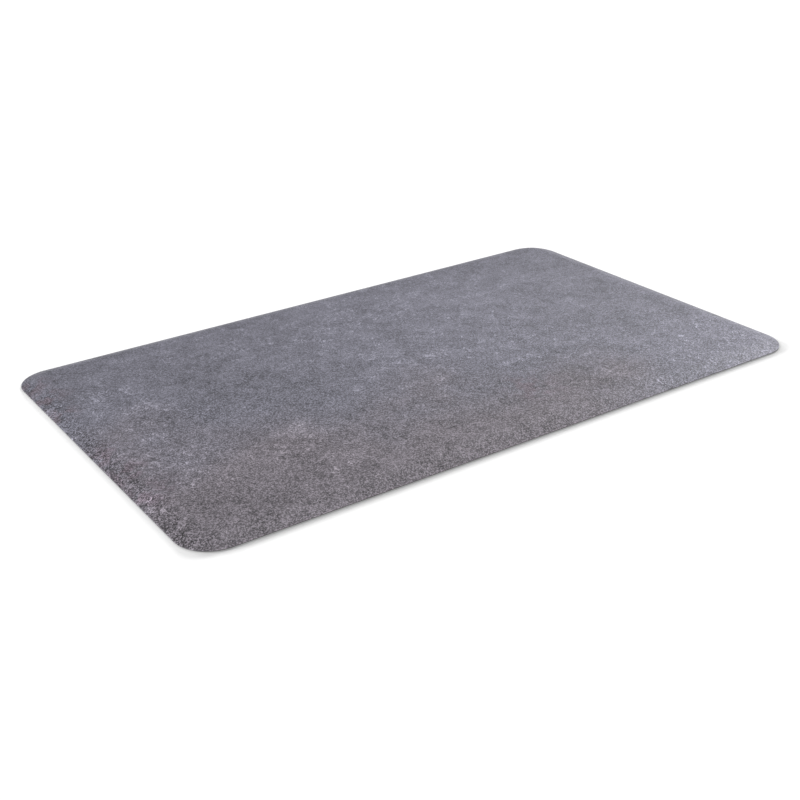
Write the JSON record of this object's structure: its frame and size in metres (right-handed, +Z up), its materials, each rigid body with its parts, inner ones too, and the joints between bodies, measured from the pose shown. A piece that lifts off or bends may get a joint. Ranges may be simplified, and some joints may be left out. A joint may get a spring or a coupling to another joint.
{
  "type": "anti-fatigue mat",
  "caption": "Rectangular laminated anti-fatigue floor mat with rounded corners, a tapered edge all round, a stone-look vinyl top on closed-cell foam and a grip underside.",
  "frame": {"origin": "centre of the underside, on the floor that the mat lies on", "axes": "+X along the mat's length, +Y across its width, +Z up out of the standing surface"},
  "size_m": [1.524, 0.9144, 0.0159],
  "materials": {
    "wear_vinyl": "satin",
    "printed_film": "matte",
    "base_vinyl": "matte",
    "sponge": "matte",
    "grip_rubber": "matte"
  },
  "bodies": {
    "root": {"wear_layer": "wear_vinyl", "print_film": "printed_film", "vinyl_sheet": "base_vinyl", "foam_core": "sponge", "grip_skin": "grip_rubber"}
  },
  "joints": []
}
